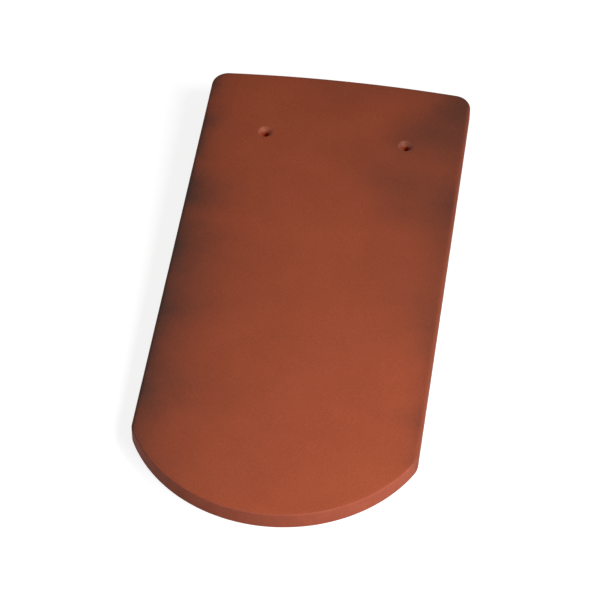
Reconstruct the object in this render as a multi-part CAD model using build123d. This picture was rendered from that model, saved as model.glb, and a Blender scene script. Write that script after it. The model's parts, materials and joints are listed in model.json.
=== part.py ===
from build123d import *
from math import asin, atan2, degrees, hypot, sqrt
import os

# Clay roof tile of the beaver-tail pattern, fired in one piece: a slightly arched slab with a rounded
# tail, a gently bowed head, two countersunk nail holes and a hanging nib under the head.
# Millimetres, +Y from the tail to the head, +Z up. The tile lies face up on a level floor, on its nib and
# the tip of its tail, with the origin on the floor under the middle of its box.

# Slab
width = 190.0
length = 400.0
thickness = 13.5
camber = 1.2  # rise of the section's middle over its sides

# Outline
head_bow = 3.2  # rise of the head edge's middle over its ends
head_corner_radius = 12.0
tail_rise = 60.0  # reach of the tail's arc past the straight sides

# Edges
face_edge_radius = 2.5
back_edge_radius = 1.2
tail_edge_radius = 0.8

# Nail holes
nail_hole_diameter = 4.6
nail_hole_spacing = 101.5
nail_hole_offset = 2.5  # the pair is punched this far to the right of the centre line
nail_hole_from_head = 60.5
countersink_diameter = 10.6
countersink_depth = 2.8
countersink_rim_radius = 1.0

# Hanging nib
nib_from_head = 36.0  # head edge to the face that hangs on the batten
nib_height = 17.0
nib_root_width = 58.0
nib_tip_width = 48.0
nib_root_length = 22.0
nib_tip_length = 14.0
nib_corner_radius = 4.0
nib_edge_radius = 3.0
nib_root_radius = 4.0

# How far cutting shapes run past what they cut
overrun = 20.0

# The slab is modelled level: the back's centre line is at z = 0 and mid-length at y = 0
head_y = length / 2
tail_y = -length / 2
nib_bearing_y = head_y - nib_from_head


def arched_bar():
    """Bar of the tile's arched section, wider and longer than the tile."""
    half_width = width / 2
    reach = half_width + overrun
    crown_radius = (half_width**2 + camber**2) / (2 * camber)
    drop = crown_radius - sqrt(crown_radius**2 - reach**2)
    face = ThreePointArc((-reach, thickness - drop), (0, thickness), (reach, thickness - drop))
    back = ThreePointArc((-reach, -drop), (0, 0), (reach, -drop))
    sides = [Line(face @ 0, back @ 0), Line(face @ 1, back @ 1)]
    section = Plane.XZ * make_face([face, back] + sides)
    return extrude(section, amount=length / 2 + overrun, both=True)


def head_outline():
    """Straight sides, bowed head and its two rounded corners, run on past the tail."""
    half_width = width / 2
    shoulder_y = head_y - head_bow
    end_y = tail_y - overrun
    head = ThreePointArc((-half_width, shoulder_y), (0, head_y), (half_width, shoulder_y))
    rest = Polyline(head @ 1, (half_width, end_y), (-half_width, end_y), head @ 0)
    outline = make_face([head, rest])
    corners = outline.vertices().sort_by(Axis.Y)[-2:]
    return fillet(corners, head_corner_radius)


def tail_outline():
    """Round cut of the tail, wider than the slab from the arc's centre up to the head."""
    half_width = width / 2
    radius = (half_width**2 + tail_rise**2) / (2 * tail_rise)
    centre_y = tail_y + radius
    end_y = head_y + overrun
    above = Pos(0, (centre_y + end_y) / 2) * Rectangle(2 * radius, end_y - centre_y)
    return Pos(0, centre_y) * Circle(radius) + above


def broad_faces(body):
    """The back and the face of the slab, in that order."""
    return body.faces().sort_by(SortBy.AREA)[-2:].sort_by(Axis.Z)


def prism(outline):
    """Upright prism of a plan outline, past the slab on both sides."""
    return extrude(outline, amount=thickness + overrun, both=True)


def slab():
    """Arched slab with softly rounded sides and head, then cut to the round tail."""
    body = arched_bar() & prism(head_outline())
    for index, radius in enumerate((back_edge_radius, face_edge_radius)):
        past_the_cut = broad_faces(body)[index].edges().sort_by(Axis.Y)[0]
        edges = [edge for edge in broad_faces(body)[index].edges() if not edge.is_same(past_the_cut)]
        body = fillet(edges, radius)
    body = body & prism(tail_outline())
    cut_face = body.faces().sort_by(Axis.Y)[0]
    return fillet(cut_face.edges(), tail_edge_radius)


def nib():
    """Tapered nib with an upright bearing face towards the tail, run up into the slab."""
    lap = thickness / 2
    growth = (nib_height + lap) / nib_height
    top_length = nib_tip_length + (nib_root_length - nib_tip_length) * growth
    top_width = nib_tip_width + (nib_root_width - nib_tip_width) * growth
    side = Polyline(
        (nib_bearing_y, lap),
        (nib_bearing_y, -nib_height),
        (nib_bearing_y + nib_tip_length, -nib_height),
        (nib_bearing_y + top_length, lap),
        close=True,
    )
    front = Polyline(
        (-top_width / 2, lap),
        (-nib_tip_width / 2, -nib_height),
        (nib_tip_width / 2, -nib_height),
        (top_width / 2, lap),
        close=True,
    )
    body = extrude(Plane.YZ * make_face(side), amount=top_width, both=True)
    body = body & extrude(Plane.XZ * make_face(front), amount=length, both=True)
    tip = body.faces().sort_by(Axis.Z)[0]
    top = body.faces().sort_by(Axis.Z)[-1]
    level = tip.edges() + top.edges()
    uprights = [edge for edge in body.edges() if not any(edge.is_same(other) for other in level)]
    body = fillet(uprights, nib_corner_radius)
    return fillet(body.faces().sort_by(Axis.Z)[0].edges(), nib_edge_radius)


def with_nib(body):
    """Join the nib to the slab's back with a rounded root."""
    body = body + nib()
    root = broad_faces(body)[0].inner_wires()[0]
    return fillet(root.edges(), nib_root_radius)


def with_nail_holes(body):
    """Punch the two countersunk nail holes and soften their rims."""
    hole_radius = nail_hole_diameter / 2
    sink_radius = countersink_diameter / 2
    crown_radius = ((width / 2) ** 2 + camber**2) / (2 * camber)
    for side in (-1, 1):
        x = nail_hole_offset + side * nail_hole_spacing / 2
        y = head_y - nail_hole_from_head
        face_z = thickness - (crown_radius - sqrt(crown_radius**2 - x**2))
        slope = (sink_radius - hole_radius) / countersink_depth
        profile = Polyline(
            (0, -thickness - overrun),
            (hole_radius, -thickness - overrun),
            (hole_radius, -countersink_depth),
            (sink_radius, 0),
            (sink_radius + slope * overrun, overrun),
            (0, overrun),
            close=True,
        )
        punch = revolve(Plane.XZ * make_face(profile), Axis.Z)
        body = body - Pos(x, y, face_z) * punch
    rims = broad_faces(body)[1].inner_wires()
    return fillet([edge for rim in rims for edge in rim.edges()], countersink_rim_radius)


def laid_down(body):
    """Tip the level tile on to its nib and tail, on the floor and centred over the origin."""
    run = (nib_bearing_y + nib_edge_radius) - (tail_y + tail_edge_radius)
    fall = (nib_height - nib_edge_radius) + tail_edge_radius
    lean = asin((nib_edge_radius - tail_edge_radius) / hypot(run, fall))
    body = Rot(X=degrees(atan2(fall, run) + lean)) * body
    box = body.bounding_box()
    return Pos(-box.center().X, -box.center().Y, -box.min.Z) * body


roof_tile = laid_down(with_nail_holes(with_nib(slab())))

os.makedirs("parts", exist_ok=True)
export_step(roof_tile, "parts/roof_tile.step")
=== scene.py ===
import json
from math import atan2, ceil, cos, e, hypot, pi, radians, sin, sqrt, tan

import bpy
from mathutils import Matrix, Vector, noise
from mathutils.geometry import delaunay_2d_cdt


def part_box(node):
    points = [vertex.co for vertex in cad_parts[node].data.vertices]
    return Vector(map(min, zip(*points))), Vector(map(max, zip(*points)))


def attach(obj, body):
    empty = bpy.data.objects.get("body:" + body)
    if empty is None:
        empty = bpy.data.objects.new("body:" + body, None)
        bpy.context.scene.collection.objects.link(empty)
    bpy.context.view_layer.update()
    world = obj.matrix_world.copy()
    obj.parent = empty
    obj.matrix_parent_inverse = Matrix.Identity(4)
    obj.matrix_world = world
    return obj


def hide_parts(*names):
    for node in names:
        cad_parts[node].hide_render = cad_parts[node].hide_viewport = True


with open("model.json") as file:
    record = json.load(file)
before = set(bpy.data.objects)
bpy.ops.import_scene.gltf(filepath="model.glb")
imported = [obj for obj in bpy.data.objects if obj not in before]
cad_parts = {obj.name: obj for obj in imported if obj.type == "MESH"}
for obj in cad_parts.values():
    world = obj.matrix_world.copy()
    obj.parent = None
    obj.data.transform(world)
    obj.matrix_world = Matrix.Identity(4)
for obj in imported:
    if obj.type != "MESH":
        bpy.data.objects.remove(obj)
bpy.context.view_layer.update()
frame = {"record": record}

# Clay roof tile of the beaver-tail pattern. Metres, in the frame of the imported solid.
# The tile is modelled level, its back's centre line at z = 0 and mid-length at y = 0, and then laid down.

# Slab and outline
half_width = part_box("roof_tile")[1][0]
length = 0.400
thickness = 0.0135
camber = 0.0012
head_bow = 0.0032
head_corner_radius = 0.012
tail_rise = 0.060
tail_corner_radius = 0.014

# Edges
face_edge_radius = 0.0025
back_edge_radius = 0.0012
tail_edge_radius = 0.0008

# Nail holes
hole_from_head = 0.0605
sink_radius = 0.0053
sink_depth = 0.0028
sink_rim_radius = 0.0010

# Hanging nib
nib_from_head = 0.036
nib_height = 0.017
nib_root_width = 0.058
nib_tip_width = 0.048
nib_root_length = 0.022
nib_tip_length = 0.014
nib_corner_radius = 0.004
nib_edge_radius = 0.003
nib_root_radius = 0.004

# Fineness of the mesh
skin_step = 0.0017
rim_gap_share = 0.6  # of a step, kept free between a ring and the inner points of its sheet
least_arc_steps = 3
edge_steps = 5
hole_sides = 48
cone_steps = 5
bore_steps = 8
nib_corner_steps = 6
tail_blend_steps = 3  # each way, over which the side's rounding passes into the tail's
same_place = 1e-9

# Fired clay's own unevenness: depth and breadth of each kind of hollow
swell_depth, swell_breadth = 0.00010, 0.075
ripple_depth, ripple_breadth = 0.00004, 0.014
edge_wobble_depth, edge_wobble_breadth = 0.00007, 0.010
drag_depth, drag_breadth, drag_length = 0.00016, 0.006, 0.400
soft_octaves, fine_octaves = 2, 3
octave_falloff, octave_step = 1.0, 2.0

# Upward share of the normal, up to which the skin is wall and from which it is face or back
wall_normal_z, face_normal_z = 0.3, 0.8

# Camera, as the photograph was taken, measured from the tile's own plane
view_azimuth = radians(8.32)
view_elevation = radians(48.78)
view_roll = radians(-0.106)
view_distance = 1.9085
view_middle = (-0.00059, -0.01657)
view_lens_mm = 168.15
view_sensor_mm = 36.0

# Worked out from the sizes and the frame
mm_per_metre = 1000
rim_gap = skin_step * rim_gap_share
head_y = length / 2
tail_y = -length / 2
crown_radius = (half_width**2 + camber**2) / (2 * camber)
tail_radius = (half_width**2 + tail_rise**2) / (2 * tail_rise)
tail_centre_y = tail_y + tail_radius
head_radius = (half_width**2 + head_bow**2) / (2 * head_bow)
head_centre_y = head_y - head_radius
head_corner_x = half_width - head_corner_radius
head_corner_y = head_centre_y + sqrt((head_radius - head_corner_radius) ** 2 - head_corner_x**2)
hole_y = head_y - hole_from_head
nib_low_y = head_y - nib_from_head
mounts = {mount["name"]: mount for mount in frame["record"]["mounts"]}
nail_holes = [mounts["nail_hole_left"], mounts["nail_hole_right"]]
hole_radius = nail_holes[0]["dims"]["r_mm"] / mm_per_metre
sink_steepness = atan2(sink_depth, sink_radius - hole_radius)
sink_rim_run = sink_rim_radius * tan(sink_steepness / 2)

# Finishes, in the order of the tile's materials
FACE, CUT, SINK, BORE, BACK = range(5)


def drop(x):
    """How far the arched section lies below its crown at x."""
    return crown_radius - sqrt(crown_radius**2 - x**2)


def laid_down():
    """Matrix that takes the level tile to where it rests, read from the left nail hole."""
    hole = nail_holes[0]
    across = Vector((1, 0, 0))
    out = Vector(hole["axis"]).normalized()
    along = out.cross(across)
    level = Matrix((across, along, out)).transposed()
    wall_middle = (thickness - sink_depth) / 2 - drop(hole["pos_m"][0])
    place = Vector((hole["pos_m"][0], hole_y, wall_middle))
    return Matrix.Translation(Vector(hole["pos_m"]) - level @ place) @ level.to_4x4()


tile_frame = laid_down()


class ClaySkin:
    """Points and faces of one closed skin, each face with its finish."""

    def __init__(self):
        self.points = []
        self.wear = []
        self.faces = []
        self.finishes = []

    def add(self, points, wear=0.0):
        """Take in points that share one wear. Returns their numbers."""
        start = len(self.points)
        self.points.extend(points)
        self.wear.extend([wear] * len(points))
        return list(range(start, len(self.points)))

    def band(self, upper, lower, finishes):
        """Quads between two closed rings of as many points, seen from outside with upper on top."""
        count = len(upper)
        for i in range(count):
            j = (i + 1) % count
            self.faces.append((upper[i], lower[i], lower[j], upper[j]))
            self.finishes.append(finishes[i])

    def sheet(self, rings, inner_points, facing, finish):
        """Fill between an outer ring and the rings of its holes, facing up (1) or down (-1)."""
        ids = [i for ring in rings for i in ring] + self.add(inner_points)
        place = {i: k for k, i in enumerate(ids)}
        edges = [(place[a], place[b]) for ring in rings for a, b in zip(ring, ring[1:] + ring[:1])]
        flat = [Vector(self.points[i][:2]) for i in ids]
        inside_edges = 1
        _, _, triangles, origins, _, _ = delaunay_2d_cdt(flat, edges, [], inside_edges, same_place)
        holes = {i: k for k, ring in enumerate(rings[1:], 1) for i in ring}
        for triangle in triangles:
            corners = [ids[origins[v][0]] for v in triangle]
            across_hole = {holes.get(i, 0) for i in corners}
            if len(across_hole) == 1 and 0 not in across_hole:
                continue
            a, b, c = (self.points[i] for i in corners)
            turn = (b[0] - a[0]) * (c[1] - a[1]) - (b[1] - a[1]) * (c[0] - a[0])
            self.faces.append(tuple(corners if turn * facing > 0 else corners[::-1]))
            self.finishes.append(finish)


def arc(centre, radius, start, end):
    """Places and outward directions along an arc, its end left to the next stretch."""
    steps = max(least_arc_steps, ceil(abs(end - start) * radius / skin_step))
    angles = [start + (end - start) * k / steps for k in range(steps)]
    outward = [(cos(angle), sin(angle)) for angle in angles]
    return [((centre[0] + radius * x, centre[1] + radius * y), (x, y)) for x, y in outward]


def straight(start, end, outward):
    """Places along a straight side, its end left to the next stretch."""
    run_x, run_y = end[0] - start[0], end[1] - start[1]
    steps = ceil(hypot(run_x, run_y) / skin_step)
    shares = [k / steps for k in range(steps)]
    return [((start[0] + run_x * share, start[1] + run_y * share), outward) for share in shares]


def tile_outline():
    """Places round the tile in plan, from the tail's right end, each as (place, outward, is_tail)."""
    head_turn = atan2(head_corner_y - head_centre_y, head_corner_x)
    tail_x = half_width - tail_corner_radius
    tail_corner_y = tail_centre_y - sqrt((tail_radius - tail_corner_radius) ** 2 - tail_x**2)
    tail_turn = atan2(tail_corner_y - tail_centre_y, tail_x)
    sides = arc((tail_x, tail_corner_y), tail_corner_radius, tail_turn, 0)
    sides += straight((half_width, tail_corner_y), (half_width, head_corner_y), (1, 0))
    sides += arc((head_corner_x, head_corner_y), head_corner_radius, 0, head_turn)
    sides += arc((0, head_centre_y), head_radius, head_turn, pi - head_turn)
    sides += arc((-head_corner_x, head_corner_y), head_corner_radius, pi - head_turn, pi)
    sides += straight((-half_width, head_corner_y), (-half_width, tail_corner_y), (-1, 0))
    sides += arc((-tail_x, tail_corner_y), tail_corner_radius, pi, pi - tail_turn)
    tail = arc((0, tail_centre_y), tail_radius, -pi - tail_turn, tail_turn)
    return [(p, n, False) for p, n in sides] + [(p, n, True) for p, n in tail]


def softened(values, reach):
    """Values round a closed ring, each averaged with its neighbours."""
    count = len(values)
    window = range(-reach, reach + 1)
    return [sum(values[(i + k) % count] for k in window) / len(window) for i in range(count)]


def edge_rings(skin, outline):
    """Rings from the face over the edges and the wall to the back. Returns the first and the last."""
    narrow = softened([1.0 if tail else 0.0 for _, _, tail in outline], tail_blend_steps)
    face_radii = [face_edge_radius + (tail_edge_radius - face_edge_radius) * k for k in narrow]
    back_radii = [back_edge_radius + (tail_edge_radius - back_edge_radius) * k for k in narrow]
    turns = [pi / 2 * k / edge_steps for k in range(edge_steps + 1)]
    wall_steps = ceil(thickness / skin_step)
    rows = [("face", turn) for turn in turns]
    rows += [("wall", k / wall_steps) for k in range(1, wall_steps)]
    rows += [("back", turn) for turn in reversed(turns)]
    rings = []
    for kind, value in rows:
        points = []
        for (place, outward, _), face_radius, back_radius in zip(outline, face_radii, back_radii):
            if kind == "face":
                inset = face_radius * (1 - sin(value))
                height = thickness - face_radius * (1 - cos(value))
            elif kind == "back":
                inset = back_radius * (1 - sin(value))
                height = back_radius * (1 - cos(value))
            else:
                inset = 0.0
                height = (thickness - face_radius) * (1 - value) + back_radius * value
            x = place[0] - outward[0] * inset
            points.append((x, place[1] - outward[1] * inset, height - drop(x)))
        worn = sin(2 * value) if kind != "wall" else 0.0
        rings.append((kind, skin.add(points, worn)))
    for (kind, upper), (_, lower) in zip(rings, rings[1:]):
        around = {"face": FACE, "wall": FACE, "back": BACK}[kind]
        finishes = [CUT if tail and kind != "back" else around for _, _, tail in outline]
        skin.band(upper, lower, finishes)
    return rings[0][1], rings[-1][1]


def nail_hole(skin, mount):
    """Rings of one countersunk hole. Returns its rim in the face and its rim in the back."""
    hole_x = mount["pos_m"][0]
    profile = []
    for k in range(edge_steps):
        turn = sink_steepness * k / (edge_steps - 1)
        radius = sink_radius + sink_rim_run - sink_rim_radius * sin(turn)
        profile.append((radius, thickness - sink_rim_radius * (1 - cos(turn))))
    start_radius, start_height = profile[-1]
    end_height = thickness - sink_depth
    for k in range(1, cone_steps + 1):
        share = k / cone_steps
        radius = start_radius + (hole_radius - start_radius) * share
        profile.append((radius, start_height + (end_height - start_height) * share))
    profile += [(hole_radius, end_height * (1 - k / bore_steps)) for k in range(1, bore_steps + 1)]
    rings = []
    for radius, height in profile:
        angles = [2 * pi * k / hole_sides for k in range(hole_sides)]
        places = [(hole_x + radius * cos(a), hole_y + radius * sin(a)) for a in angles]
        rings.append(skin.add([(x, y, height - drop(x)) for x, y in places]))
    outer_rim = edge_steps // 2
    inner_rim = edge_steps - 1 - outer_rim
    finishes = [FACE] * outer_rim + [SINK] * (inner_rim + cone_steps) + [BORE] * bore_steps
    for upper, lower, finish in zip(rings, rings[1:], finishes):
        skin.band(lower, upper, [finish] * hole_sides)
    return rings[0], rings[-1]


def nib_outline(depth, growth):
    """Rounded rectangle of the nib at a depth under the back, grown outwards."""
    share = depth / nib_height
    nib_half = (nib_root_width + (nib_tip_width - nib_root_width) * share) / 2 + growth
    low = nib_low_y - growth
    high = nib_low_y + nib_root_length + (nib_tip_length - nib_root_length) * share + growth
    radius = nib_corner_radius + growth
    corners = [(1, 1), (-1, 1), (-1, -1), (1, -1)]
    points = []
    long_steps = ceil(nib_root_width / skin_step)
    short_steps = ceil(nib_root_length / skin_step)
    for index, (sx, sy) in enumerate(corners):
        centre = (sx * (nib_half - radius), high - radius if sy > 0 else low + radius)
        start = pi / 2 * index
        for k in range(nib_corner_steps + 1):
            angle = start + pi / 2 * k / nib_corner_steps
            points.append((centre[0] + radius * cos(angle), centre[1] + radius * sin(angle)))
        nx, ny = corners[(index + 1) % len(corners)]
        next_start = pi / 2 * (index + 1)
        next_centre = (nx * (nib_half - radius), high - radius if ny > 0 else low + radius)
        end = (next_centre[0] + radius * cos(next_start), next_centre[1] + radius * sin(next_start))
        last = points[-1]
        run_x, run_y = end[0] - last[0], end[1] - last[1]
        steps = long_steps if index % 2 == 0 else short_steps
        points += [(last[0] + run_x * k / steps, last[1] + run_y * k / steps) for k in range(1, steps)]
    return points


def nib_rings(skin):
    """Rings of the nib from its rounded root down to its tip. Returns the ring in the back."""
    turns = [pi / 2 * k / edge_steps for k in range(edge_steps + 1)]
    rows = [(nib_root_radius * (1 - cos(t)), nib_root_radius * (1 - sin(t)), 0.0) for t in turns]
    straight_end = nib_height - nib_edge_radius
    side_steps = ceil((straight_end - nib_root_radius) / skin_step)
    for k in range(1, side_steps):
        rows.append((nib_root_radius + (straight_end - nib_root_radius) * k / side_steps, 0.0, 0.0))
    for turn in turns:
        depth = straight_end + nib_edge_radius * sin(turn)
        rows.append((depth, -nib_edge_radius * (1 - cos(turn)), sin(2 * turn)))
    rings = []
    for depth, growth, worn in rows:
        level = depth / nib_height
        points = [(x, y, -depth - drop(x) * (1 - level)) for x, y in nib_outline(depth, growth)]
        rings.append(skin.add(points, worn))
    for upper, lower in zip(rings, rings[1:]):
        skin.band(upper, lower, [BACK] * len(upper))
    tip_low = nib_low_y + nib_edge_radius
    tip_high = tip_low + nib_tip_length - 2 * nib_edge_radius
    tip_half = nib_tip_width / 2 - nib_edge_radius
    inner = [
        (x, y, -nib_height)
        for x, y in skin_grid()
        if abs(x) < tip_half - skin_step and tip_low + skin_step < y < tip_high - skin_step
    ]
    skin.sheet([rings[-1]], inner, facing=-1, finish=BACK)
    return rings[0]


def skin_grid():
    """Places of an even triangular grid over the whole tile."""
    row_step = skin_step * sqrt(3) / 2
    rows = ceil(length / row_step)
    columns = ceil(half_width / skin_step)
    for j in range(rows + 1):
        shift = skin_step / 2 * (j % 2)
        for i in range(-columns, columns + 1):
            yield i * skin_step + shift, tail_y + j * row_step


def inside_outline(x, y, margin):
    """True where a place in plan lies at least a margin inside the tile's outline."""
    if abs(x) > half_width - margin or hypot(x, y - head_centre_y) > head_radius - margin:
        return False
    if y < tail_centre_y and hypot(x, y - tail_centre_y) > tail_radius - margin:
        return False
    past_x, past_y = abs(x) - head_corner_x, y - head_corner_y
    at_corner = past_x > 0 and past_y > 0
    return not at_corner or hypot(past_x, past_y) < head_corner_radius - margin


def off_holes(x, y, radius):
    """True where a place in plan lies outside both nail holes' rings."""
    return all(hypot(x - hole["pos_m"][0], y - hole_y) > radius for hole in nail_holes)


def off_nib(x, y):
    """True where a place in plan lies outside the nib's root."""
    margin = nib_root_radius + rim_gap
    low = nib_low_y - margin
    high = nib_low_y + nib_root_length + margin
    return abs(x) > nib_root_width / 2 + margin or y < low or y > high


def shaped_skin():
    """The level tile as one closed skin."""
    skin = ClaySkin()
    outline = tile_outline()
    face_ring, back_ring = edge_rings(skin, outline)
    hole_rings = [nail_hole(skin, mount) for mount in nail_holes]
    root_ring = nib_rings(skin)
    face_margin = face_edge_radius + rim_gap
    back_margin = back_edge_radius + rim_gap
    sink = sink_radius + sink_rim_run + rim_gap
    hole = hole_radius + rim_gap
    face_points = []
    back_points = []
    for x, y in skin_grid():
        if inside_outline(x, y, face_margin) and off_holes(x, y, sink):
            face_points.append((x, y, thickness - drop(x)))
        if inside_outline(x, y, back_margin) and off_holes(x, y, hole) and off_nib(x, y):
            back_points.append((x, y, -drop(x)))
    face_rims = [face_ring] + [rim for rim, _ in hole_rings]
    back_rims = [back_ring, root_ring] + [rim for _, rim in hole_rings]
    skin.sheet(face_rims, face_points, facing=1, finish=FACE)
    skin.sheet(back_rims, back_points, facing=-1, finish=BACK)
    return skin


def held(value):
    """Value held between 0 and 1."""
    return min(max(value, 0.0), 1.0)


def hollow(place, breadth, octaves):
    """Depth share from 0 to 1 of a soft hollow at a place."""
    value = noise.fractal(Vector(place) / breadth, octave_falloff, octave_step, octaves)
    return held((1 + value) / 2)


def facing_share(normal):
    """From 0 on the tile's walls to 1 on its face and back."""
    return held((abs(normal.z) - wall_normal_z) / (face_normal_z - wall_normal_z))


def unevenness(place, normal):
    """How far the fired surface lies below the true shape at a place."""
    facing = facing_share(normal)
    under = facing if normal.z < 0 else 0.0
    depth = swell_depth * hollow(place, swell_breadth, soft_octaves)
    depth += ripple_depth * hollow(place, ripple_breadth, fine_octaves)
    depth += edge_wobble_depth * (1 - facing) * hollow(place, edge_wobble_breadth, soft_octaves)
    lines = (place[0] / drag_breadth, place[1] / drag_length, 0.0)
    return depth + drag_depth * under * hollow(lines, 1.0, fine_octaves)


def fired_tile(finishes):
    """The tile's mesh, uneven as fired clay is, laid down where the solid rests."""
    skin = shaped_skin()
    mesh = bpy.data.meshes.new("fired_tile")
    mesh.from_pydata(skin.points, [], skin.faces)
    mesh.polygons.foreach_set("material_index", skin.finishes)
    normals = [v.normal.copy() for v in mesh.vertices]
    for vertex, normal in zip(mesh.vertices, normals):
        vertex.co = vertex.co - normal * unevenness(vertex.co, normal)
    mesh.attributes.new("edge_wear", "FLOAT", "POINT").data.foreach_set("value", skin.wear)
    walls = [1 - facing_share(normal) for normal in normals]
    mesh.attributes.new("wall", "FLOAT", "POINT").data.foreach_set("value", walls)
    for finish in finishes:
        mesh.materials.append(finish)
    mesh.shade_smooth()
    mesh.transform(tile_frame)
    mesh.update()
    tile = bpy.data.objects.new("fired_tile", mesh)
    bpy.context.collection.objects.link(tile)
    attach(tile, "root")
    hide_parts("roof_tile")


# Helpers for shader nodes
noise_middle = 0.5  # of a noise texture's range from 0 to 1


def feed(tree, socket, value):
    """Give an input a value, or link another node's output to it."""
    if isinstance(value, bpy.types.NodeSocket):
        tree.links.new(value, socket)
    else:
        socket.default_value = value


def put(tree, kind, inputs=None, **settings):
    """Add a shader node with its settings, and feed its inputs."""
    node = tree.nodes.new(kind)
    for name, value in settings.items():
        setattr(node, name, value)
    for key, value in (inputs or {}).items():
        feed(tree, node.inputs[key], value)
    return node


def maths(tree, operation, *values, clamp=False):
    """Result of one operation on values."""
    inputs = dict(enumerate(values))
    return put(tree, "ShaderNodeMath", inputs, operation=operation, use_clamp=clamp).outputs[0]


def vector_maths(tree, operation, inputs):
    """Result of one operation on vectors."""
    return put(tree, "ShaderNodeVectorMath", inputs, operation=operation).outputs["Vector"]


def ramp(tree, value, low, high, to_low=0.0, to_high=1.0):
    """Value taken smoothly from one range to another, and held at its ends."""
    inputs = {"Value": value, "From Min": low, "From Max": high, "To Min": to_low, "To Max": to_high}
    return put(tree, "ShaderNodeMapRange", inputs, interpolation_type="SMOOTHSTEP").outputs["Result"]


# Colour sockets of a Mix node
MIX_FIRST, MIX_SECOND, MIX_RESULT = 6, 7, 2


def blend(tree, share, first, second, way="MIX"):
    """Colour between two colours by a share."""
    inputs = {"Factor": share, MIX_FIRST: first, MIX_SECOND: second}
    return put(tree, "ShaderNodeMix", inputs, data_type="RGBA", blend_type=way).outputs[MIX_RESULT]


def tinted(tree, colour, tint):
    """Colour multiplied by a tint."""
    return blend(tree, 1.0, colour, tint, "MULTIPLY")


def grey(tree, value):
    """Colour with one value in all its channels."""
    channels = {"Red": value, "Green": value, "Blue": value}
    return put(tree, "ShaderNodeCombineColor", channels).outputs["Color"]


def cloud(tree, place, scale, detail=3.0, roughness=0.55):
    """Soft noise from 0 to 1 at a place."""
    inputs = {"Vector": place, "Scale": scale, "Detail": detail, "Roughness": roughness}
    return put(tree, "ShaderNodeTexNoise", inputs).outputs["Fac"]


def own_place(tree):
    """Place on the tile, in metres."""
    return put(tree, "ShaderNodeTexCoord").outputs["Object"]


def new_group(name, inputs, outputs):
    """Empty shader group with named sockets. Returns the group, its inputs and its results."""
    group = bpy.data.node_groups.new(name, "ShaderNodeTree")
    for label, (kind, value) in inputs.items():
        group.interface.new_socket(label, in_out="INPUT", socket_type=kind).default_value = value
    for label, kind in outputs.items():
        group.interface.new_socket(label, in_out="OUTPUT", socket_type=kind)
    return group, group.nodes.new("NodeGroupInput").outputs, group.nodes.new("NodeGroupOutput").inputs


COLOUR, VALUE, VECTOR = "NodeSocketColor", "NodeSocketFloat", "NodeSocketVector"
WHITE = (1.0, 1.0, 1.0, 1.0)


def fired_shades_group():
    """Broad drift between two shades of the same firing."""
    inputs = {"Light": (COLOUR, WHITE), "Deep": (COLOUR, WHITE), "Breadth": (VALUE, 0.05)}
    group, given, result = new_group("fired_shades", inputs, {"Color": COLOUR})
    place = own_place(group)
    scale = maths(group, "DIVIDE", 1.0, given["Breadth"])
    drift = cloud(group, place, scale)
    share = ramp(group, drift, low=0.3, high=0.7)
    group.links.new(blend(group, share, given["Deep"], given["Light"]), result["Color"])
    return group


# Specks of coarser sand: how many to a grain, where their core and rim lie, and how deep they sink
specks_per_grain = 0.45
speck_core, speck_rim = 0.05, 0.22
speck_sink = 0.4


def clay_grain_group():
    """Fine sand in fired clay: a tint that multiplies the colour, and a height for relief."""
    inputs = {"Grain size": (VALUE, 0.001), "Contrast": (VALUE, 0.1), "Specks": (VALUE, 0.1)}
    group, given, result = new_group("clay_grain", inputs, {"Tint": COLOUR, "Height": VALUE})
    place = own_place(group)
    scale = maths(group, "DIVIDE", 1.0, given["Grain size"])
    grain = cloud(group, place, scale, detail=4.0, roughness=0.65)
    speck_scale = maths(group, "MULTIPLY", scale, specks_per_grain)
    dots = put(group, "ShaderNodeTexVoronoi", {"Vector": place, "Scale": speck_scale}).outputs["Distance"]
    speck = ramp(group, dots, speck_core, speck_rim, to_low=1.0, to_high=0.0)
    swing = maths(group, "MULTIPLY", maths(group, "SUBTRACT", grain, noise_middle), given["Contrast"])
    darker = maths(group, "MULTIPLY", speck, given["Specks"])
    tint = maths(group, "SUBTRACT", maths(group, "ADD", 1.0, swing), darker)
    group.links.new(grey(group, tint), result["Tint"])
    height = maths(group, "SUBTRACT", grain, maths(group, "MULTIPLY", speck, speck_sink))
    group.links.new(height, result["Height"])
    return group


# Kiln smoke along each side, and painted shade on the left rim: share of the length from the tail,
# strength at the edge, reach inwards
SHARE, STRENGTH, REACH = range(3)
smoke_on_left = [
    (0.00, 0.72, 0.028),
    (0.16, 0.58, 0.025),
    (0.20, 0.82, 0.029),
    (0.24, 0.90, 0.031),
    (0.32, 0.64, 0.026),
    (0.36, 0.66, 0.028),
    (0.41, 0.90, 0.031),
    (0.46, 0.78, 0.031),
    (0.51, 0.98, 0.026),
    (0.58, 0.90, 0.027),
    (0.62, 0.82, 0.017),
    (0.66, 0.90, 0.023),
    (0.71, 0.89, 0.025),
    (0.76, 0.70, 0.013),
    (0.81, 0.50, 0.011),
    (0.86, 0.74, 0.013),
    (0.91, 0.58, 0.009),
    (1.00, 0.64, 0.010),
]
# Painted shade on the left rounded edge, which faces away from the lamps, mixed in the same way as the
# smoke
shade_on_left_rim = [
    (0.00, 0.48, 0.003),
    (1.00, 0.42, 0.003),
]
smoke_on_right = [
    (0.00, 0.42, 0.007),
    (0.34, 0.32, 0.006),
    (0.42, 0.44, 0.020),
    (0.48, 0.48, 0.023),
    (0.52, 0.34, 0.024),
    (0.60, 0.42, 0.020),
    (0.72, 0.70, 0.030),
    (0.80, 0.40, 0.028),
    (0.90, 0.52, 0.028),
    (1.00, 0.84, 0.034),
]
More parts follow.
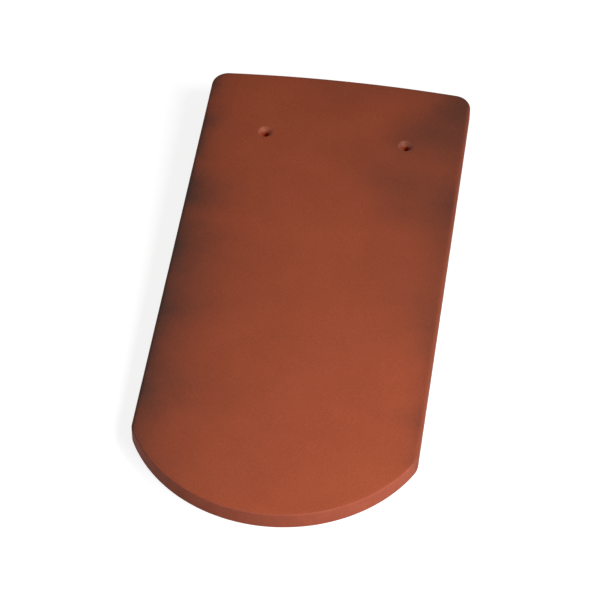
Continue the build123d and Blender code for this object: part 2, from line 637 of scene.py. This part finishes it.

# Clouds of smoke away from the sides, one of them partly painted shade: middle x and y, reach in x and y,
# and strength
smoke_and_shade_clouds = [
    (0.080, 0.178, 0.026, 0.020, 0.32),
    (0.068, 0.152, 0.046, 0.036, 0.48),
    (0.052, 0.104, 0.046, 0.036, 0.32),
    (0.024, 0.130, 0.044, 0.034, 0.14),
    # Darkens the head's middle: partly smoke, partly painted shade of the impressed mark that is left out
    (0.002, 0.182, 0.040, 0.036, 0.12),
    (0.000, 0.205, 0.120, 0.032, 0.16),
    (0.058, 0.072, 0.036, 0.025, 0.18),
    (0.056, 0.016, 0.032, 0.045, 0.09),
    (0.090, -0.105, 0.022, 0.018, 0.14),
]

# On the right rim an even painted shade darkens the edge that the lamps on the right light strongly, and
# on the walls the smoke is thinner
rim_breadth = 0.003
right_rim_shade = 0.34
wall_smoke_share = 0.5

# How far and how broadly the smoke drifts, and how sharply it fades inwards
smoke_drift = 0.022
smoke_drift_breadth = 0.035
smoke_falloff = 1.25


def along_tile(tree, share, table, column):
    """Value read from one column of a table, by share of the tile's length."""
    node = put(tree, "ShaderNodeFloatCurve", {"Value": share})
    curve = node.mapping.curves[0]
    for row in table[1:-1]:
        curve.points.new(row[SHARE], row[column])
    for end in (0, -1):
        curve.points[end].location = (table[end][SHARE], table[end][column])
    for point in curve.points:
        point.handle_type = "VECTOR"
    node.mapping.update()
    return node.outputs["Value"]


def side_smoke_and_shade(tree, share, inwards, table):
    """Smoke that fades inwards from one side, by its strength and reach along the tile; it also lays the
    painted shade on the left rim.
    """
    strength = along_tile(tree, share, table, STRENGTH)
    reach = along_tile(tree, share, table, REACH)
    far = maths(tree, "DIVIDE", maths(tree, "MAXIMUM", inwards, 0.0), reach)
    fade = maths(tree, "POWER", 1 / e, maths(tree, "POWER", far, smoke_falloff))
    return maths(tree, "MULTIPLY", strength, fade)


def cloud_darkening(tree, place, x, y, reach_x, reach_y, strength):
    """Darkening of one soft cloud: smoke, and at the head's middle partly painted shade."""
    away = vector_maths(tree, "SUBTRACT", {0: place, 1: (x, y, 0.0)})
    scaled = vector_maths(tree, "MULTIPLY", {0: away, 1: (1 / reach_x, 1 / reach_y, 0.0)})
    far = put(tree, "ShaderNodeVectorMath", {0: scaled}, operation="LENGTH").outputs["Value"]
    return ramp(tree, far, low=0.0, high=1.0, to_low=strength, to_high=0.0)


def smoke_and_rim_shade_group():
    """Smoke that the kiln left along the sides and towards the head, and painted shade on the left rim,
    which faces away from the lamps, and on the right rim, which they light strongly.
    """
    inputs = {"Clean": (COLOUR, WHITE), "Smoked": (COLOUR, WHITE), "Strength": (VALUE, 1.0)}
    group, given, result = new_group("smoke_and_rim_shade", inputs, {"Color": COLOUR})
    place = own_place(group)
    drift_inputs = {"Vector": place, "Scale": 1 / smoke_drift_breadth, "Detail": 4.0, "Roughness": 0.6}
    drift = put(group, "ShaderNodeTexNoise", drift_inputs).outputs["Color"]
    centred = vector_maths(group, "SUBTRACT", {0: drift, 1: (noise_middle, noise_middle, noise_middle)})
    shift = vector_maths(group, "SCALE", {0: centred, "Scale": smoke_drift})
    drifted = vector_maths(group, "ADD", {0: place, 1: shift})
    split = put(group, "ShaderNodeSeparateXYZ", {0: drifted}).outputs
    share = maths(group, "DIVIDE", maths(group, "SUBTRACT", split["Y"], tail_y), length)
    from_left = maths(group, "ADD", split["X"], half_width)
    from_right = maths(group, "SUBTRACT", half_width, split["X"])
    sides = [(from_left, smoke_on_left), (from_left, shade_on_left_rim), (from_right, smoke_on_right)]
    smokes_and_shades = [side_smoke_and_shade(group, share, inwards, table) for inwards, table in sides]
    smokes_and_shades += [cloud_darkening(group, drifted, *row) for row in smoke_and_shade_clouds]
    clear = 1.0
    for smoke_and_shade in smokes_and_shades:
        clear = maths(group, "MULTIPLY", clear, maths(group, "SUBTRACT", 1.0, smoke_and_shade))
    across = put(group, "ShaderNodeSeparateXYZ", {0: place}).outputs["X"]
    # On the right rim the smoke gives way to an even painted shade
    off_right_rim = ramp(group, maths(group, "SUBTRACT", half_width, across), low=0.0, high=rim_breadth)
    wall = put(group, "ShaderNodeAttribute", attribute_name="wall").outputs["Fac"]
    kept = maths(group, "SUBTRACT", 1.0, maths(group, "MULTIPLY", wall, 1 - wall_smoke_share))
    smoke_and_shade_share = maths(group, "MULTIPLY", maths(group, "SUBTRACT", 1.0, clear), kept)
    over_rim = maths(group, "MULTIPLY", maths(group, "SUBTRACT", smoke_and_shade_share, right_rim_shade), off_right_rim)
    smoke_and_shade_share = maths(group, "ADD", over_rim, right_rim_shade)
    smoke_and_shade = maths(group, "MULTIPLY", smoke_and_shade_share, given["Strength"], clamp=True)
    group.links.new(blend(group, smoke_and_shade, given["Clean"], given["Smoked"]), result["Color"])
    return group


wear_patches_per_metre = 90.0


def worn_edges_group():
    """Arrises rubbed to a lighter clay, unevenly."""
    inputs = {"Color": (COLOUR, WHITE), "Worn": (COLOUR, WHITE), "Amount": (VALUE, 0.5)}
    group, given, result = new_group("worn_edges", inputs, {"Color": COLOUR})
    edge = put(group, "ShaderNodeAttribute", attribute_name="edge_wear").outputs["Fac"]
    patches = cloud(group, own_place(group), wear_patches_per_metre)
    patchy = ramp(group, patches, low=0.25, high=0.75, to_low=0.35, to_high=1.0)
    wear = maths(group, "MULTIPLY", maths(group, "MULTIPLY", edge, patchy), given["Amount"], clamp=True)
    group.links.new(blend(group, wear, given["Color"], given["Worn"]), result["Color"])
    return group


def drag_marks_group():
    """Fine lines where clay was dragged or cut, by how many lie to the metre in x, y and z."""
    inputs = {"Lines per metre": (VECTOR, (1.0, 1.0, 1.0)), "Contrast": (VALUE, 0.1)}
    group, given, result = new_group("drag_marks", inputs, {"Tint": COLOUR, "Height": VALUE})
    drawn = vector_maths(group, "MULTIPLY", {0: own_place(group), 1: given["Lines per metre"]})
    lines = cloud(group, drawn, scale=1.0, detail=5.0, roughness=0.6)
    swing = maths(group, "MULTIPLY", maths(group, "SUBTRACT", lines, noise_middle), given["Contrast"])
    tint = maths(group, "ADD", 1.0, swing)
    group.links.new(grey(group, tint), result["Tint"])
    group.links.new(lines, result["Height"])
    return group


# Effects that the materials share
effects = {
    "shades": fired_shades_group(),
    "grain": clay_grain_group(),
    "smoke_and_shade": smoke_and_rim_shade_group(),
    "edges": worn_edges_group(),
    "drag": drag_marks_group(),
}


def effect(tree, name, **values):
    """Place one shared effect in a material, its sockets named with underscores for spaces."""
    node = put(tree, "ShaderNodeGroup", node_tree=effects[name])
    for label, value in values.items():
        feed(tree, node.inputs[label.replace("_", " ")], value)
    return node.outputs


def clay_material(name, specular):
    """New material with only its Principled shader and output. Returns it, its tree and the shader."""
    material = bpy.data.materials.new(name)
    material.use_nodes = True
    tree = material.node_tree
    shader = tree.nodes["Principled BSDF"]
    shader.inputs["Specular IOR Level"].default_value = specular
    return material, tree, shader


def shared_height(tree, grain, drag, drag_share):
    """Height of the relief, shared between sand grains and drag marks."""
    from_grain = maths(tree, "MULTIPLY", grain["Height"], 1 - drag_share)
    from_drag = maths(tree, "MULTIPLY", drag["Height"], drag_share)
    return maths(tree, "ADD", from_grain, from_drag)


def finish_clay(tree, shader, colour, height, roughness, relief):
    """Wire colour, roughness from the relief's height, and bump into the shader."""
    tree.links.new(colour, shader.inputs["Base Color"])
    raised, sunken = roughness
    polish = ramp(tree, height, low=0.2, high=0.8, to_low=sunken, to_high=raised)
    tree.links.new(polish, shader.inputs["Roughness"])
    bump = put(tree, "ShaderNodeBump", {"Height": height, "Strength": 1.0, "Distance": relief})
    tree.links.new(bump.outputs["Normal"], shader.inputs["Normal"])


def fired_face():
    """Smooth face of the tile, red from the firing, smoked along its sides and with painted shade on its
    rims.
    """
    material, tree, shader = clay_material("fired_face", specular=0.12)
    light, deep = (0.377, 0.0810, 0.0355, 1.0), (0.351, 0.0752, 0.0328, 1.0)
    shades = effect(tree, "shades", Light=light, Deep=deep, Breadth=0.03)
    worn = effect(tree, "edges", Color=shades["Color"], Worn=(0.40, 0.09, 0.045, 1.0), Amount=0.12)
    smoked_and_shaded = effect(tree, "smoke_and_shade", Clean=worn["Color"], Smoked=(0.052, 0.0305, 0.0245, 1.0), Strength=1.0)
    grain = effect(tree, "grain", Grain_size=0.0011, Contrast=0.56, Specks=0.12)
    colour = tinted(tree, smoked_and_shaded["Color"], grain["Tint"])
    finish_clay(tree, shader, colour, grain["Height"], roughness=(0.66, 0.82), relief=0.00006)
    return material


def cut_clay():
    """Wall of the tail, where the clay was cut."""
    material, tree, shader = clay_material("cut_clay", specular=0.42)
    light, deep = (0.350, 0.070, 0.030, 1.0), (0.312, 0.061, 0.026, 1.0)
    shades = effect(tree, "shades", Light=light, Deep=deep, Breadth=0.012)
    worn = effect(tree, "edges", Color=shades["Color"], Worn=(0.40, 0.100, 0.052, 1.0), Amount=0.2)
    smoked_and_shaded = effect(tree, "smoke_and_shade", Clean=worn["Color"], Smoked=(0.060, 0.021, 0.014, 1.0), Strength=1.1)
    grain = effect(tree, "grain", Grain_size=0.0010, Contrast=0.26, Specks=0.12)
    drag = effect(tree, "drag", Lines_per_metre=(900.0, 900.0, 90.0), Contrast=0.18)
    colour = tinted(tree, smoked_and_shaded["Color"], grain["Tint"])
    colour = tinted(tree, colour, drag["Tint"])
    height = shared_height(tree, grain, drag, drag_share=0.4)
    finish_clay(tree, shader, colour, height, roughness=(0.70, 0.88), relief=0.00022)
    return material


def punched_sink():
    """Pale clay that the punch pressed smooth in the countersinks, its paleness partly painted sheen of
    the lamps.
    """
    material, tree, shader = clay_material("punched_sink", specular=0.16)
    # Paler, pinker and greyer than the face: partly the pressed clay's own colour, partly painted sheen
    # on the countersink's far flank
    light, deep = (0.410, 0.104, 0.052, 1.0), (0.345, 0.085, 0.042, 1.0)
    shades = effect(tree, "shades", Light=light, Deep=deep, Breadth=0.004)
    smoked_and_shaded = effect(tree, "smoke_and_shade", Clean=shades["Color"], Smoked=(0.075, 0.042, 0.032, 1.0), Strength=1.0)
    grain = effect(tree, "grain", Grain_size=0.0009, Contrast=0.30, Specks=0.10)
    colour = tinted(tree, smoked_and_shaded["Color"], grain["Tint"])
    finish_clay(tree, shader, colour, grain["Height"], roughness=(0.34, 0.42), relief=0.00015)
    return material


def bore_with_painted_glow():
    """Raw clay inside the nail holes, out of the smoke's way, brightened and reddened as painted bounce
    light between the hole's walls.
    """
    material, tree, shader = clay_material("bore_with_painted_glow", specular=0.10)
    # Brighter and redder than the face: partly raw clay, partly painted bounce light inside the hole
    light, deep = (0.580, 0.086, 0.023, 1.0), (0.480, 0.070, 0.019, 1.0)
    shades = effect(tree, "shades", Light=light, Deep=deep, Breadth=0.004)
    grain = effect(tree, "grain", Grain_size=0.0009, Contrast=0.30, Specks=0.10)
    colour = tinted(tree, shades["Color"], grain["Tint"])
    finish_clay(tree, shader, colour, grain["Height"], roughness=(0.70, 0.85), relief=0.00015)
    return material


def back_clay():
    """Rough back and nib, dragged lengthwise where the clay left the press."""
    material, tree, shader = clay_material("back_clay", specular=0.25)
    light, deep = (0.380, 0.092, 0.048, 1.0), (0.300, 0.068, 0.034, 1.0)
    shades = effect(tree, "shades", Light=light, Deep=deep, Breadth=0.045)
    worn = effect(tree, "edges", Color=shades["Color"], Worn=(0.45, 0.14, 0.088, 1.0), Amount=0.5)
    smoked_and_shaded = effect(tree, "smoke_and_shade", Clean=worn["Color"], Smoked=(0.085, 0.044, 0.034, 1.0), Strength=0.7)
    grain = effect(tree, "grain", Grain_size=0.0012, Contrast=0.24, Specks=0.14)
    drag = effect(tree, "drag", Lines_per_metre=(420.0, 9.0, 420.0), Contrast=0.16)
    colour = tinted(tree, smoked_and_shaded["Color"], grain["Tint"])
    colour = tinted(tree, colour, drag["Tint"])
    height = shared_height(tree, grain, drag, drag_share=0.5)
    finish_clay(tree, shader, colour, height, roughness=(0.72, 0.90), relief=0.00028)
    return material


# Floor, and how bright the floor and the surroundings look without lighting the tile more
floor_reach = 4.0
floor_colour = (0.40, 0.40, 0.40, 1.0)
floor_glow = 0.84
surroundings_light = 0.13
surroundings_glow = 0.87


def seen_rays(tree):
    """1 for rays seen straight, mirrored or through glass, and 0 for those that only give light."""
    path = put(tree, "ShaderNodeLightPath").outputs
    indirect = maths(tree, "MAXIMUM", path["Is Glossy Ray"], path["Is Transmission Ray"])
    return maths(tree, "MAXIMUM", path["Is Camera Ray"], indirect)


def pale_floor():
    """Wide pale floor that takes the tile's shadow and shows white round it."""
    corners = [(x * floor_reach, y * floor_reach, 0) for x, y in ((-1, -1), (1, -1), (1, 1), (-1, 1))]
    mesh = bpy.data.meshes.new("pale_floor")
    mesh.from_pydata(corners, [], [range(len(corners))])
    material = bpy.data.materials.new("pale_floor")
    material.use_nodes = True
    tree = material.node_tree
    tree.nodes.clear()
    matt = put(tree, "ShaderNodeBsdfDiffuse", {"Color": floor_colour})
    glow_strength = maths(tree, "MULTIPLY", seen_rays(tree), floor_glow)
    glow = put(tree, "ShaderNodeEmission", {"Color": WHITE, "Strength": glow_strength})
    both = put(tree, "ShaderNodeAddShader", {0: matt.outputs[0], 1: glow.outputs[0]})
    put(tree, "ShaderNodeOutputMaterial", {"Surface": both.outputs[0]})
    mesh.materials.append(material)
    floor = bpy.data.objects.new("pale_floor", mesh)
    bpy.context.collection.objects.link(floor)


softboxes = {
    "high_softbox": {
        "place": (0.80, -0.25, 0.90),
        "aim": (0.02, -0.16, 0.0),
        "size": 0.40,
        "power": 2.85,
        "spread": radians(100),
    },
    "low_softbox": {
        "place": (0.38, -0.56, 0.25),
        "aim": (0.0, -0.14, 0.0),
        "size": 0.25,
        "power": 2.6,
        "spread": radians(180),
    },
    "left_fill": {
        "place": (-2.40, 0.80, 0.42),
        "aim": (-0.08, 0.02, 0.0),
        "size": 1.20,
        "power": 6.5,
        "spread": radians(180),
    },
}


def soft_lamp(name, place, aim, size, power, spread):
    """Square softbox at a place, turned to what it lights."""
    data = bpy.data.lights.new(name, "AREA")
    data.shape = "SQUARE"
    data.size = size
    data.energy = power
    data.spread = spread
    lamp = bpy.data.objects.new(name, data)
    lamp.location = place
    lamp.rotation_euler = (Vector(aim) - Vector(place)).to_track_quat("-Z", "Y").to_euler()
    bpy.context.collection.objects.link(lamp)


def studio_light():
    """Even pale surroundings, softboxes high on the right and low by the tail, and a fill on the left."""
    world = bpy.data.worlds.new("studio")
    bpy.context.scene.world = world
    world.use_nodes = True
    tree = world.node_tree
    glow = maths(tree, "MULTIPLY", seen_rays(tree), surroundings_glow)
    strength = maths(tree, "ADD", glow, surroundings_light)
    backdrop = tree.nodes["Background"].inputs
    feed(tree, backdrop["Color"], WHITE)
    feed(tree, backdrop["Strength"], strength)
    for name, lamp in softboxes.items():
        soft_lamp(name, **lamp)


def photo_camera():
    """Camera where the photograph's outline of the tile puts it."""
    right = Vector((cos(view_azimuth), sin(view_azimuth), 0))
    level_out = Vector((sin(view_azimuth), -cos(view_azimuth), 0))
    out = level_out * cos(view_elevation) + Vector((0, 0, sin(view_elevation)))
    facing = Matrix((right, out.cross(right), out)).transposed().to_4x4()
    turn = facing @ Matrix.Rotation(view_roll, 4, "Z")
    middle = Vector((*view_middle, thickness))
    data = bpy.data.cameras.new("photo_camera")
    data.sensor_width = view_sensor_mm
    data.lens = view_lens_mm
    camera = bpy.data.objects.new("photo_camera", data)
    camera.matrix_world = tile_frame @ Matrix.Translation(middle + out * view_distance) @ turn
    bpy.context.collection.objects.link(camera)
    bpy.context.scene.camera = camera


fired_tile([fired_face(), cut_clay(), punched_sink(), bore_with_painted_glow(), back_clay()])
pale_floor()
studio_light()
photo_camera()
bpy.context.scene.view_settings.view_transform = "Standard"
